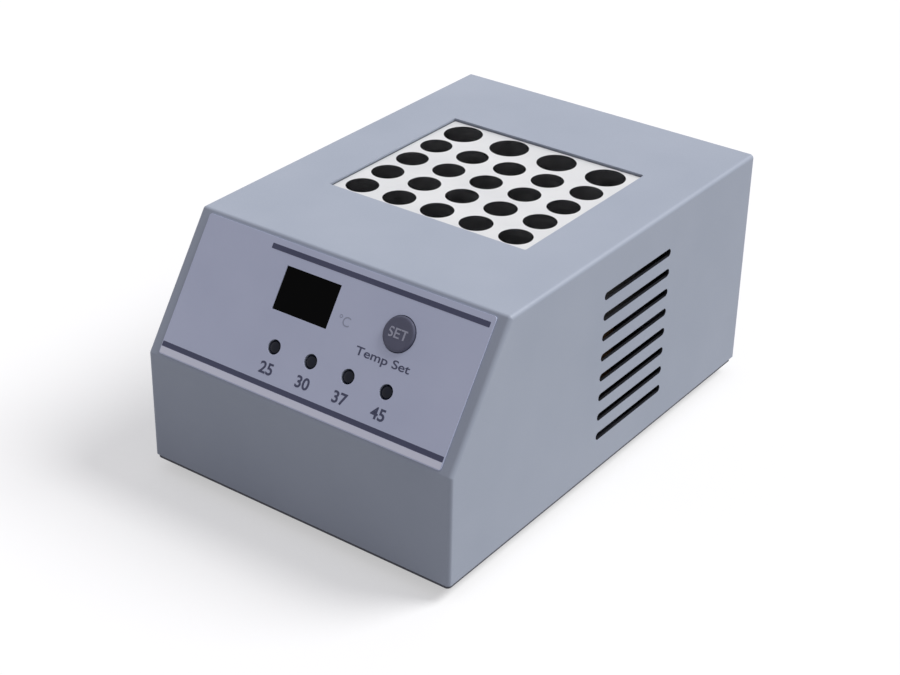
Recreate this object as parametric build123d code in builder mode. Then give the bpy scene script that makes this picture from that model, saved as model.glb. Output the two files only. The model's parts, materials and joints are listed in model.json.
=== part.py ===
"""Dry bath incubator: a bench heater with a sloped control panel and a block of drilled tube wells.

The frame has +X to the right, +Y to the rear and +Z up. Its origin lies on the bench, under the
middle of the whole object. All sizes are in millimetres.
"""
from build123d import *
import math
import os

os.makedirs("parts", exist_ok=True)

UP = (Align.CENTER, Align.CENTER, Align.MIN)
DOWN = (Align.CENTER, Align.CENTER, Align.MAX)

# Sheet-metal case
case_width = 140.0
case_depth = 203.0
case_height = 93.0
front_height = 45.0
slope_setback = 33.0
sheet = 1.2
bend_radius = 1.6
seam_gap = 0.3
vent_count = 8
vent_pitch = 8.6
vent_length = 47.0
vent_width = 3.2
vent_from_front = 117.0
vent_mid_height = 44.7

# Base plate and feet
base_thickness = 1.5
base_inset = 0.6
foot_height = 5.0
foot_diameter = 14.0
foot_tip_diameter = 12.0
foot_inset_x = 16.0
foot_inset_y = 26.0
foot_floor = 2.0

# Bent tabs of the cover
tab_length = 12.0
tab_width = 14.0
tab_screw_inset = 6.0
bottom_tab_reach = 62.0
rear_tab_heights = (20.0, 72.0)
rear_inset = 0.8

# Fasteners: thread, head diameter and head height, and nut width and height
m3 = 3.0
m3_head = 5.5
m3_head_height = 1.8
m3_nut = 5.5
m3_nut_height = 2.4
m4 = 4.0
m4_head = 7.6
m4_head_height = 2.2
m4_nut = 7.0
m4_nut_height = 3.2
thread_gap = 0.05
hole_gap = 0.2
tip_reach = 1.0

# Heating block: wells, the webs between them and the walls round them
small_bore = 13.0
small_columns = 5
small_rows = 4
small_web_x = 4.85
small_web_y = 2.85
large_bore = 16.0
large_count = 4
large_web = 6.7
row_web = 1.75
side_wall = 2.5
end_wall = 1.0
well_depth = 42.0
well_point = 1.5
well_floor = 8.0
block_gap = 0.8
block_recess = 0.9
cutout_corner = 0.8

# Heater, its clamp plate, insulation and support columns
mat_thickness = 1.5
plate_thickness = 2.0
insulation_gap = 0.3
insulation_thickness = 6.0
column_diameter = 9.0
column_inset = 8.0
column_thread = 7.0
stud_grip = 5.5
sensor_diameter = 3.0
sensor_depth = 22.0
sensor_reach = 10.0
sensor_x = 12.0
cutout_disc_diameter = 16.0
cutout_disc_height = 7.0
cutout_flange = 1.0
cutout_flange_width = 6.5
cutout_ear = 11.5
heater_lead_x = 8.0
heater_lead_diameter = 2.0

# Control panel on the slope
overlay_side = 5.0
overlay_low = 1.2
overlay_high = 1.6
overlay_thickness = 0.5
overlay_corner = 1.0
display_x = -11.1
display_v = 40.1
window_width = 24.8
window_height = 16.2
window_gap = 0.15
window_flange = 1.0
window_lip = 1.5
window_sink = 0.2
module_depth = 7.2
module_margin = 1.0
button_x = 31.0
button_v = 39.5
button_diameter = 13.0
button_gap = 0.25
button_proud = 1.0
button_travel = 0.8
button_rim = 1.5
button_rim_thickness = 1.0
button_chamfer = 0.4
stem_diameter = 5.0
light_diameter = 5.2
light_gap = 0.2
light_chamfer = 0.9
light_count = 4
light_pitch = 16.93
light_first_x = -16.7
light_v = 19.2
display_board_width = 82.0
display_board_height = 40.0
display_board_x = 6.0
display_board_v = 32.0
board_thickness = 1.6
board_hole_inset = 3.6
spacer_width = 5.5
spacer_grip = 3.0
tact_size = 6.0
tact_height = 3.6
tact_floor = 0.3
plunger_diameter = 3.4
plunger_gap = 0.2
plunger_top = 5.0

# Control board on the base
control_board_width = 96.0
control_board_depth = 50.0
control_board_y = 35.0
control_board_rise = 8.0
transformer_width = 32.0
transformer_depth = 14.0
transformer_height = 26.0
transformer_from_edge = 22.0
transformer_y = 24.0
winding_depth = 26.0
winding_height = 14.0
core_window = 6.0
sink_width = 36.0
sink_depth = 14.0
sink_height = 24.0
sink_web = 2.5
sink_fins = 6
sink_fin = 1.4
sink_from_edge = 24.0
sink_y = 40.0
triac_width = 10.0
triac_depth = 4.5
triac_height = 15.0
capacitor_diameter = 12.0
capacitor_height = 18.0
capacitor_from_edge = 18.0
capacitor_y = 44.0
chip_length = 24.0
chip_width = 7.0
chip_height = 3.5
chip_from_edge = 22.0
chip_y = 18.0
terminal_ways = 6
terminal_pitch = 7.0
terminal_depth = 9.0
terminal_height = 11.0
terminal_from_edge = 30.0
terminal_y = 55.0

# Mains inlet with its fuse drawer, seen from behind
inlet_from_side = 42.0
inlet_z = 28.0
inlet_flange_width = 50.0
inlet_flange_height = 35.0
inlet_flange = 3.0
inlet_corner = 4.0
inlet_body_width = 28.0
inlet_depth = 20.0
inlet_screw_spacing = 40.0
inlet_rim = 1.9
socket_width = 24.4
socket_height = 16.6
socket_corner = 4.6
socket_depth = 16.0
socket_web = 2.0
pin_width = 2.0
pin_height = 4.0
pin_spacing = 14.0
pin_offset = 4.0
pin_sink = 2.0
pin_tail = 7.0
drawer_width = 22.4
drawer_height = 8.0
drawer_depth = 11.0
drawer_gap = 0.2
drawer_lip = 1.4
drawer_lip_margin = 1.4
drawer_round = 0.5
drawer_slot_spare = 1.5
fuse_diameter = 5.2
fuse_length = 20.0
fuse_cap_length = 5.5
fuse_glass_diameter = 4.8
fuse_gap = 0.2

# Power switch
switch_from_side = 40.0
switch_z = 28.0
bezel_width = 15.0
bezel_height = 21.0
bezel = 1.8
bezel_corner = 1.5
switch_body_width = 13.4
switch_body_height = 19.0
switch_depth = 14.0
switch_cavity_depth = 9.0
rocker_width = 10.8
rocker_length = 15.8
rocker_gap = 0.3
rocker_end_gap = 0.8
rocker_tip = 2.0
rocker_dip = 0.9
rocker_depth = 5.0
rocker_shoulder = 2.5
rocker_foot = 4.0
rocker_pivot = 1.2
rocker_tilt = 10.0
pivot_diameter = 2.4
pivot_gap = 0.1
pivot_reach = 0.8
spade_width = 4.8
spade_thickness = 0.8
spade_length = 7.0
spade_spacing = 10.0

# Earth stud and wiring
earth_length = 14.0
wire_diameter = 2.4
wire_lane_gap = 2.1
wire_fan = 10.0
wire_drop = 18.0
sensor_loop = 10.0
ribbon_width = 14.0
ribbon_thickness = 0.9
ribbon_bend = 5.0
sensor_lead_diameter = 1.6

# Levels and places that follow from the sizes above
cover_bottom = foot_height + base_thickness
fold_z = cover_bottom + front_height
top_z = cover_bottom + case_height
roof = top_z - sheet

tilt = math.radians(rocker_tilt)
rocker_pivot_n = bezel - rocker_pivot
rocker_reach = (
    rocker_pivot_n
    + (rocker_tip + rocker_pivot) * math.cos(tilt)
    + rocker_length / 2 * math.sin(tilt)
)
rear_reach = max(rocker_reach, inlet_flange + drawer_lip) - rear_inset
front_y = -(case_depth + rear_reach) / 2
back_y = front_y + case_depth
mid_y = front_y + case_depth / 2
slope_top_y = front_y + slope_setback
rear_face_y = back_y - rear_inset
rear_inner_y = rear_face_y - sheet

slope_length = math.hypot(slope_setback, case_height - front_height)
panel = Plane(
    origin=(0, front_y, fold_z),
    x_dir=(1, 0, 0),
    z_dir=(0, front_height - case_height, slope_setback),
)
light_places = [(light_first_x + light_pitch * i, light_v) for i in range(light_count)]
display_board_front = -(sheet + window_flange + module_depth)
display_board_back = display_board_front - board_thickness
board_hole_x = display_board_width / 2 - board_hole_inset
board_hole_v = display_board_height / 2 - board_hole_inset
display_board_places = [
    (display_board_x + side * board_hole_x, display_board_v + end * board_hole_v)
    for side in (-1, 1)
    for end in (-1, 1)
]

small_pitch_x = small_bore + small_web_x
small_pitch_y = small_bore + small_web_y
large_pitch = large_bore + large_web
small_field = small_pitch_x * (small_columns - 1) + small_bore
large_field = large_pitch * (large_count - 1) + large_bore
block_width = max(small_field, large_field) + 2 * side_wall
block_depth = small_pitch_y * (small_rows - 1) + small_bore + row_web + large_bore + 2 * end_wall
block_height = well_depth + well_floor
block_y = (slope_top_y + back_y) / 2
block_top = top_z - block_recess
block_bottom = block_top - block_height
first_row = -block_depth / 2 + end_wall + small_bore / 2
large_row = block_depth / 2 - end_wall - large_bore / 2
small_places = [
    (small_pitch_x * (column - (small_columns - 1) / 2), first_row + small_pitch_y * row)
    for row in range(small_rows)
    for column in range(small_columns)
]
large_places = [(large_pitch * (n - (large_count - 1) / 2), large_row) for n in range(large_count)]
plate_top = block_bottom - mat_thickness
plate_bottom = plate_top - plate_thickness
column_places = [
    (side * (block_width / 2 - column_inset), end * (block_depth / 2 - column_inset))
    for side in (-1, 1)
    for end in (-1, 1)
]
insulation_width = block_width + 2 * insulation_gap
insulation_depth = block_depth + 2 * insulation_gap
plate_width = insulation_width + 2 * insulation_thickness
plate_depth = insulation_depth + 2 * insulation_thickness
sensor_z = block_bottom + well_floor / 2
sensor_end_y = block_y + plate_depth / 2 + sensor_reach

inlet_x = inlet_from_side - case_width / 2
switch_x = case_width / 2 - switch_from_side
transformer_x = transformer_from_edge - control_board_width / 2
capacitor_x = capacitor_from_edge - control_board_width / 2
terminal_x = terminal_from_edge - control_board_width / 2
sink_x = control_board_width / 2 - sink_from_edge
chip_x = control_board_width / 2 - chip_from_edge

foot_places = [
    (side * (case_width / 2 - foot_inset_x), end * (case_depth / 2 - foot_inset_y))
    for side in (-1, 1)
    for end in (-1, 1)
]
tab_screw_x = case_width / 2 - sheet - tab_screw_inset
cover_screw_places = [(side * tab_screw_x, end * bottom_tab_reach) for side in (-1, 1) for end in (-1, 1)]
rear_screw_places = [(side * tab_screw_x, height) for side in (-1, 1) for height in rear_tab_heights]

control_board_bottom = cover_bottom + control_board_rise
control_board_top = control_board_bottom + board_thickness
control_hole_x = control_board_width / 2 - board_hole_inset
control_hole_y = control_board_depth / 2 - board_hole_inset
control_board_places = [
    (side * control_hole_x, end * control_hole_y)
    for side in (-1, 1)
    for end in (-1, 1)
]

inlet_body_height = socket_height + socket_web + drawer_height + 2 * drawer_gap + 2 * inlet_rim
socket_v = inlet_body_height / 2 - inlet_rim - socket_height / 2
drawer_v = -inlet_body_height / 2 + inlet_rim + drawer_gap + drawer_height / 2
pin_places = [
    (-pin_spacing / 2, socket_v - pin_offset / 2),
    (pin_spacing / 2, socket_v - pin_offset / 2),
    (0, socket_v + pin_offset / 2),
]
rear_panel_plane = Plane(origin=(0, rear_face_y, cover_bottom), x_dir=(-1, 0, 0), z_dir=(0, 1, 0))
inlet_face = Plane(
    origin=(inlet_x, rear_face_y, cover_bottom + inlet_z), x_dir=(-1, 0, 0), z_dir=(0, 1, 0)
)
switch_face = Plane(
    origin=(switch_x, rear_face_y, cover_bottom + switch_z), x_dir=(-1, 0, 0), z_dir=(0, 1, 0)
)
rocker_plane = Plane(
    origin=(switch_x, rear_face_y + rocker_pivot_n, cover_bottom + switch_z),
    x_dir=(0, math.sin(tilt), math.cos(tilt)),
    z_dir=(-1, 0, 0),
)


def panel_openings(mode=Mode.ADD):
    """Draw the openings for the window, the button and the lights in a sketch on the panel."""
    with Locations((display_x, display_v)):
        Rectangle(window_width + 2 * window_gap, window_height + 2 * window_gap, mode=mode)
    with Locations((button_x, button_v)):
        Circle(button_diameter / 2 + button_gap, mode=mode)
    with Locations(*light_places):
        Circle(light_diameter / 2 + light_gap, mode=mode)


def pan_screws(plane, places, thread, length, head, head_height):
    """Make round-headed screws whose heads stand on the plane and whose shanks go in behind it."""
    with BuildPart(plane) as screws:
        with Locations(*places):
            Cylinder(thread / 2, length, align=DOWN)
            Cylinder(head / 2, head_height, align=UP)
    return screws


def hex_nuts(plane, places, thread, width, height):
    """Make hexagon nuts that stand on the plane."""
    with BuildPart(plane) as nuts:
        with BuildSketch(plane):
            with Locations(*places):
                RegularPolygon(width / 2, 6, major_radius=False)
                Circle(thread / 2 + thread_gap, mode=Mode.SUBTRACT)
        extrude(amount=height)
    return nuts


# Cover: front, slope, top and both sides in one bent shell, open at the bottom and the rear
with BuildPart() as top_cover:
    with BuildSketch(Plane.YZ.offset(-case_width / 2)):
        with BuildLine():
            Polyline(
                (front_y, cover_bottom),
                (front_y, fold_z),
                (slope_top_y, top_z),
                (back_y, top_z),
                (back_y, cover_bottom),
                close=True,
            )
        make_face()
    extrude(amount=case_width)
    bends = [
        edge
        for edge in top_cover.edges()
        if edge.center().Z > cover_bottom + sheet and edge.center().Y < back_y - sheet
    ]
    fillet(bends, radius=bend_radius)
    bottom_face = top_cover.faces().sort_by(Axis.Z)[0]
    rear_opening = top_cover.faces().sort_by(Axis.Y)[-1]
    offset(amount=-sheet, openings=[bottom_face, rear_opening])
    with BuildSketch(Plane.XY.offset(top_z)):
        with Locations((0, block_y)):
            RectangleRounded(block_width + 2 * block_gap, block_depth + 2 * block_gap, cutout_corner)
    extrude(amount=-2 * sheet, mode=Mode.SUBTRACT)
    with BuildSketch(panel):
        panel_openings()
    extrude(amount=-2 * sheet, mode=Mode.SUBTRACT)
    with BuildSketch(Plane.YZ):
        with Locations((front_y + vent_from_front, cover_bottom + vent_mid_height)):
            with GridLocations(0, vent_pitch, 1, vent_count):
                SlotOverall(vent_length, vent_width)
    extrude(amount=case_width, both=True, mode=Mode.SUBTRACT)
    with BuildSketch(Plane.XY.offset(cover_bottom)):
        with Locations(*[(x, mid_y + y) for x, y in cover_screw_places]):
            Rectangle(tab_length + sheet, tab_width)
            Circle(m3 / 2 + thread_gap, mode=Mode.SUBTRACT)
    extrude(amount=sheet)
    with BuildSketch(Plane(origin=(0, rear_inner_y, cover_bottom), x_dir=(-1, 0, 0), z_dir=(0, 1, 0))):
        with Locations(*rear_screw_places):
            Rectangle(tab_length + sheet, tab_width)
            Circle(m3 / 2 + thread_gap, mode=Mode.SUBTRACT)
    extrude(amount=-sheet)
top_cover.part.label = "top_cover"
export_step(top_cover.part, "parts/top_cover.step")

# Base plate: flat sheet that closes the case from below
with BuildPart() as base_plate:
    with BuildSketch(Plane.XY.offset(foot_height)):
        with Locations((0, mid_y)):
            RectangleRounded(case_width - 2 * base_inset, case_depth - 2 * base_inset, bend_radius)
        with Locations(*[(x, mid_y + y) for x, y in foot_places]):
            Circle(m4 / 2 + hole_gap, mode=Mode.SUBTRACT)
        with Locations(*[(x, mid_y + y) for x, y in cover_screw_places]):
            Circle(m3 / 2 + hole_gap, mode=Mode.SUBTRACT)
        with Locations(*[(x, block_y + y) for x, y in column_places]):
            Circle(m4 / 2 + hole_gap, mode=Mode.SUBTRACT)
    extrude(amount=base_thickness)
base_plate.part.label = "base_plate"
export_step(base_plate.part, "parts/base_plate.step")

# Rubber feet, each with a well for its screw's head
with BuildPart() as rubber_feet:
    with Locations(*[(x, mid_y + y, 0) for x, y in foot_places]):
        Cone(foot_tip_diameter / 2, foot_diameter / 2, foot_height, align=UP)
        Cylinder(m4 / 2 + hole_gap, foot_height, align=UP, mode=Mode.SUBTRACT)
        Cylinder(m4_head / 2 + hole_gap, foot_height - foot_floor, align=UP, mode=Mode.SUBTRACT)
rubber_feet.part.label = "rubber_feet"
export_step(rubber_feet.part, "parts/rubber_feet.step")

under_foot_floor = Plane(
    origin=(0, mid_y, foot_height - foot_floor), x_dir=(1, 0, 0), z_dir=(0, 0, -1)
)
foot_screws = pan_screws(
    under_foot_floor,
    foot_places,
    m4,
    foot_floor + base_thickness + m4_nut_height + tip_reach,
    m4_head,
    m4_head_height,
)
foot_screws.part.label = "foot_screws"
export_step(foot_screws.part, "parts/foot_screws.step")

foot_nuts = hex_nuts(Plane(origin=(0, mid_y, cover_bottom)), foot_places, m4, m4_nut, m4_nut_height)
foot_nuts.part.label = "foot_nuts"
export_step(foot_nuts.part, "parts/foot_nuts.step")

# Screws that hold the base plate to the tabs of the cover
under_base = Plane(origin=(0, mid_y, foot_height), x_dir=(1, 0, 0), z_dir=(0, 0, -1))
cover_screws = pan_screws(
    under_base, cover_screw_places, m3, base_thickness + sheet + tip_reach, m3_head, m3_head_height
)
cover_screws.part.label = "cover_screws"
export_step(cover_screws.part, "parts/cover_screws.step")

# Rear panel: flat sheet set into the cover's open rear, with the cut-outs of inlet and switch
rear_panel_width = case_width - 2 * sheet - 2 * seam_gap
rear_panel_height = case_height - sheet - seam_gap
with BuildPart() as rear_panel:
    with BuildSketch(rear_panel_plane):
        with Locations((0, rear_panel_height / 2)):
            Rectangle(rear_panel_width, rear_panel_height)
        with Locations(*rear_screw_places):
            Circle(m3 / 2 + hole_gap, mode=Mode.SUBTRACT)
        with Locations((-inlet_x, inlet_z)):
            Rectangle(
                inlet_body_width + 2 * hole_gap, inlet_body_height + 2 * hole_gap, mode=Mode.SUBTRACT
            )
            with GridLocations(inlet_screw_spacing, 0, 2, 1):
                Circle(m3 / 2 + hole_gap, mode=Mode.SUBTRACT)
        with Locations((-switch_x, switch_z)):
            Rectangle(
                switch_body_width + 2 * hole_gap, switch_body_height + 2 * hole_gap, mode=Mode.SUBTRACT
            )
    extrude(amount=-sheet)
    top_corners = rear_panel.edges().filter_by(Axis.Y).group_by(Axis.Z)[-1].sort_by(Axis.X)
    top_corners = [top_corners[0], top_corners[-1]]
    fillet(top_corners, radius=bend_radius - sheet)
rear_panel.part.label = "rear_panel"
export_step(rear_panel.part, "parts/rear_panel.step")

rear_panel_screws = pan_screws(
    rear_panel_plane, rear_screw_places, m3, 2 * sheet + tip_reach, m3_head, m3_head_height
)
rear_panel_screws.part.label = "rear_panel_screws"
export_step(rear_panel_screws.part, "parts/rear_panel_screws.step")

# Overlay: thin satin plate on the slope
overlay_height = slope_length - overlay_low - overlay_high
with BuildPart() as front_overlay:
    with BuildSketch(panel):
        with Locations((0, overlay_low + overlay_height / 2)):
            RectangleRounded(case_width - 2 * overlay_side, overlay_height, overlay_corner)
        panel_openings(mode=Mode.SUBTRACT)
    extrude(amount=overlay_thickness)
front_overlay.part.label = "front_overlay"
export_step(front_overlay.part, "parts/front_overlay.step")

# Display window: dark filter with a lip that is glued behind the sheet
with BuildPart() as display_window:
    with BuildSketch(panel.offset(-sheet)):
        with Locations((display_x, display_v)):
            Rectangle(window_width + 2 * window_lip, window_height + 2 * window_lip)
    extrude(amount=-window_flange)
    with BuildSketch(panel.offset(-sheet)):
        with Locations((display_x, display_v)):
            Rectangle(window_width, window_height)
    extrude(amount=sheet + overlay_thickness - window_sink)
display_window.part.label = "display_window"
export_step(display_window.part, "parts/display_window.step")

with BuildPart() as display_module:
    with BuildSketch(panel.offset(display_board_front)):
        with Locations((display_x, display_v)):
            Rectangle(window_width - 2 * module_margin, window_height - 2 * module_margin)
    extrude(amount=module_depth)
display_module.part.label = "display_module"
export_step(display_module.part, "parts/display_module.step")

with BuildPart() as display_board:
    with BuildSketch(panel.offset(display_board_front)):
        with Locations((display_board_x, display_board_v)):
            Rectangle(display_board_width, display_board_height)
        with Locations(*display_board_places):
            Circle(m3 / 2 + hole_gap, mode=Mode.SUBTRACT)
    extrude(amount=-board_thickness)
display_board.part.label = "display_board"
export_step(display_board.part, "parts/display_board.step")

with BuildPart() as display_board_spacers:
    with BuildSketch(panel.offset(display_board_front)):
        with Locations(*display_board_places):
            RegularPolygon(spacer_width / 2, 6, major_radius=False)
            Circle(m3 / 2 + thread_gap, mode=Mode.SUBTRACT)
    extrude(amount=-sheet - display_board_front)
display_board_spacers.part.label = "display_board_spacers"
export_step(display_board_spacers.part, "parts/display_board_spacers.step")

behind_display_board = Plane(
    origin=panel.from_local_coords((0, 0, display_board_back)), x_dir=(1, 0, 0), z_dir=-panel.z_dir
)
display_board_screws = pan_screws(
    behind_display_board,
    [(x, -v) for x, v in display_board_places],
    m3,
    board_thickness + spacer_grip,
    m3_head,
    m3_head_height,
)
display_board_screws.part.label = "display_board_screws"
export_step(display_board_screws.part, "parts/display_board_screws.step")

# Indicator lights: round lenses that stand on the display board and end level with the overlay
light_height = overlay_thickness - display_board_front
with BuildPart(panel.offset(display_board_front)) as indicator_lights:
    with Locations(*light_places):
        Cylinder(light_diameter / 2, light_height, align=UP)
    lens_rims = [
        edge
        for edge in indicator_lights.edges().filter_by(GeomType.CIRCLE)
        if panel.to_local_coords(edge.arc_center).Z > 0
    ]
    chamfer(lens_rims, length=light_chamfer)
indicator_lights.part.label = "indicator_lights"
export_step(indicator_lights.part, "parts/indicator_lights.step")

# Tact switch on the display board, and the plunger that the button pushes into it
plunger_bottom = tact_floor + button_travel + plunger_gap
with BuildPart(panel.offset(display_board_front)) as tact_switch:
    with Locations((button_x, button_v)):
        Box(tact_size, tact_size, tact_height, align=UP)
    with Locations((button_x, button_v, tact_floor)):
        Cylinder(plunger_diameter / 2 + plunger_gap, tact_height, align=UP, mode=Mode.SUBTRACT)
tact_switch.part.label = "tact_switch"
export_step(tact_switch.part, "parts/tact_switch.step")

with BuildPart(panel.offset(display_board_front)) as switch_plunger:
    with Locations((button_x, button_v, plunger_bottom)):
        Cylinder(plunger_diameter / 2, plunger_top - plunger_bottom, align=UP)
switch_plunger.part.label = "switch_plunger"
export_step(switch_plunger.part, "parts/switch_plunger.step")

# Set button: round cap through the panel, with a rim behind the sheet that stops it
button_top = overlay_thickness + button_proud
rim_top = -sheet - button_gap
stem_bottom = display_board_front + plunger_top
with BuildPart(panel) as set_button:
    with Locations((button_x, button_v, rim_top)):
        Cylinder(button_diameter / 2, button_top - rim_top, align=UP)
        Cylinder(button_diameter / 2 + button_rim, button_rim_thickness, align=DOWN)
        Cylinder(stem_diameter / 2, rim_top - stem_bottom, align=DOWN)
    cap_rim = [
        edge
        for edge in set_button.edges().filter_by(GeomType.CIRCLE)
        if panel.to_local_coords(edge.arc_center).Z > overlay_thickness
    ]
    chamfer(cap_rim, length=button_chamfer)
set_button.part.label = "set_button"
export_step(set_button.part, "parts/set_button.step")

# Heating block: solid aluminium, its wells ending in a drill's point, with tapped holes and a sensor hole
block_centre = Plane(origin=(0, block_y, block_top))
with BuildPart(block_centre) as heating_block:
    with BuildSketch(block_centre):
        Rectangle(block_width, block_depth)
    extrude(amount=-block_height)
    with BuildSketch(block_centre):
        with Locations(*small_places):
            Circle(small_bore / 2)
        with Locations(*large_places):
            Circle(large_bore / 2)
    extrude(amount=-well_depth, mode=Mode.SUBTRACT)
    with Locations(*[(x, y, -well_depth) for x, y in small_places]):
        Cone(0, small_bore / 2, well_point, align=DOWN, mode=Mode.SUBTRACT)
    with Locations(*[(x, y, -well_depth) for x, y in large_places]):
        Cone(0, large_bore / 2, well_point, align=DOWN, mode=Mode.SUBTRACT)
    with BuildSketch(Plane(origin=(0, block_y, block_bottom))):
        with Locations(*column_places):
            Circle(m4 / 2 + thread_gap)
    extrude(amount=stud_grip, mode=Mode.SUBTRACT)
    with BuildSketch(
        Plane(origin=(sensor_x, block_y + block_depth / 2, sensor_z), x_dir=(-1, 0, 0), z_dir=(0, 1, 0))
    ):
        Circle(sensor_diameter / 2 + hole_gap)
    extrude(amount=-sensor_depth, mode=Mode.SUBTRACT)
heating_block.part.label = "heating_block"
export_step(heating_block.part, "parts/heating_block.step")

with BuildPart() as heater_mat:
    with BuildSketch(Plane(origin=(0, block_y, plate_top))):
        Rectangle(block_width, block_depth)
        with Locations(*column_places):
            Circle(m4 / 2 + hole_gap, mode=Mode.SUBTRACT)
    extrude(amount=mat_thickness)
heater_mat.part.label = "heater_mat"
export_step(heater_mat.part, "parts/heater_mat.step")

with BuildPart() as clamp_plate:
    with BuildSketch(Plane(origin=(0, block_y, plate_bottom))):
        Rectangle(plate_width, plate_depth)
        with Locations(*column_places):
            Circle(m4 / 2 + hole_gap, mode=Mode.SUBTRACT)
        with Locations((-cutout_ear, 0), (cutout_ear, 0)):
            Circle(m3 / 2 + thread_gap, mode=Mode.SUBTRACT)
        with Locations((-heater_lead_x, -plate_depth / 4), (heater_lead_x, -plate_depth / 4)):
            Circle(heater_lead_diameter / 2 + hole_gap, mode=Mode.SUBTRACT)
    extrude(amount=plate_thickness)
clamp_plate.part.label = "clamp_plate"
export_step(clamp_plate.part, "parts/clamp_plate.step")

# Insulating columns: they carry the block, and their studs clamp plate, mat and block together
stud_length = plate_thickness + mat_thickness + stud_grip - tip_reach
with BuildPart(Plane(origin=(0, block_y, cover_bottom))) as block_columns:
    with Locations(*column_places):
        Cylinder(column_diameter / 2, plate_bottom - cover_bottom, align=UP)
        Cylinder(m4 / 2 + thread_gap, column_thread, align=UP, mode=Mode.SUBTRACT)
    with Locations(*[(x, y, plate_bottom - cover_bottom) for x, y in column_places]):
        Cylinder(m4 / 2, stud_length, align=UP)
block_columns.part.label = "block_columns"
export_step(block_columns.part, "parts/block_columns.step")

column_screws = pan_screws(
    Plane(origin=(0, block_y, foot_height), x_dir=(1, 0, 0), z_dir=(0, 0, -1)),
    column_places,
    m4,
    base_thickness + column_thread - tip_reach,
    m4_head,
    m4_head_height,
)
column_screws.part.label = "column_screws"
export_step(column_screws.part, "parts/column_screws.step")

# Insulation collar round the block, standing on the rim of the clamp plate
insulation_height = roof - seam_gap - plate_top
with BuildPart() as block_insulation:
    with BuildSketch(Plane(origin=(0, block_y, plate_top))):
        Rectangle(plate_width, plate_depth)
        Rectangle(insulation_width, insulation_depth, mode=Mode.SUBTRACT)
    extrude(amount=insulation_height)
    with BuildSketch(
        Plane(origin=(sensor_x, block_y + plate_depth / 2, sensor_z), x_dir=(-1, 0, 0), z_dir=(0, 1, 0))
    ):
        Circle(sensor_diameter / 2 + insulation_gap)
    extrude(amount=-2 * insulation_thickness, mode=Mode.SUBTRACT)
block_insulation.part.label = "block_insulation"
export_step(block_insulation.part, "parts/block_insulation.step")

sensor_start_y = block_y + block_depth / 2 - sensor_depth + seam_gap
with BuildPart(
    Plane(origin=(sensor_x, sensor_start_y, sensor_z), x_dir=(-1, 0, 0), z_dir=(0, 1, 0))
) as temperature_sensor:
    Cylinder(sensor_diameter / 2, sensor_end_y - sensor_start_y, align=UP)
temperature_sensor.part.label = "temperature_sensor"
export_step(temperature_sensor.part, "parts/temperature_sensor.step")

# Over-temperature cut-out: a disc thermostat held under the clamp plate by its two ears
under_plate = Plane(origin=(0, block_y, plate_bottom), x_dir=(1, 0, 0), z_dir=(0, 0, -1))
with BuildPart() as thermal_cutout:
    with BuildSketch(under_plate):
        SlotOverall(2 * cutout_ear + cutout_flange_width, cutout_flange_width)
        with Locations((-cutout_ear, 0), (cutout_ear, 0)):
            Circle(m3 / 2 + hole_gap, mode=Mode.SUBTRACT)
    extrude(amount=cutout_flange)
    with BuildSketch(under_plate):
        Circle(cutout_disc_diameter / 2)
    extrude(amount=cutout_disc_height)
thermal_cutout.part.label = "thermal_cutout"
export_step(thermal_cutout.part, "parts/thermal_cutout.step")

cutout_screws = pan_screws(
    under_plate.offset(cutout_flange),
    [(-cutout_ear, 0), (cutout_ear, 0)],
    m3,
    cutout_flange + plate_thickness,
    m3_head,
    m3_head_height,
)
cutout_screws.part.label = "cutout_screws"
export_step(cutout_screws.part, "parts/cutout_screws.step")

# Control board on four spacers behind the front wall
board_centre_y = front_y + control_board_y
with BuildPart() as control_board:
    with BuildSketch(Plane(origin=(0, board_centre_y, control_board_bottom))):
        Rectangle(control_board_width, control_board_depth)
        with Locations(*control_board_places):
            Circle(m3 / 2 + hole_gap, mode=Mode.SUBTRACT)
    extrude(amount=board_thickness)
control_board.part.label = "control_board"
export_step(control_board.part, "parts/control_board.step")

with BuildPart() as control_board_spacers:
    with BuildSketch(Plane(origin=(0, board_centre_y, cover_bottom))):
        with Locations(*control_board_places):
            RegularPolygon(spacer_width / 2, 6, major_radius=False)
            Circle(m3 / 2 + thread_gap, mode=Mode.SUBTRACT)
    extrude(amount=control_board_rise)
control_board_spacers.part.label = "control_board_spacers"
export_step(control_board_spacers.part, "parts/control_board_spacers.step")

control_board_screws = pan_screws(
    Plane(origin=(0, board_centre_y, control_board_top)),
    control_board_places,
    m3,
    board_thickness + spacer_grip,
    m3_head,
    m3_head_height,
)
control_board_screws.part.label = "control_board_screws"
export_step(control_board_screws.part, "parts/control_board_screws.step")

# Transformer: laminated core with two windows, and the winding on its middle leg
core_leg = (transformer_width - 2 * core_window) / 4
transformer_front = Plane(
    origin=(transformer_x, front_y + transformer_y, control_board_top), x_dir=(1, 0, 0), z_dir=(0, -1, 0)
)
with BuildPart() as transformer_core:
    with BuildSketch(transformer_front):
        with Locations((0, transformer_height / 2)):
            Rectangle(transformer_width, transformer_height)
            with GridLocations(2 * core_leg + core_window, 0, 2, 1):
                Rectangle(core_window, winding_height, mode=Mode.SUBTRACT)
    extrude(amount=transformer_depth / 2, both=True)
transformer_core.part.label = "transformer_core"
export_step(transformer_core.part, "parts/transformer_core.step")

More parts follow.
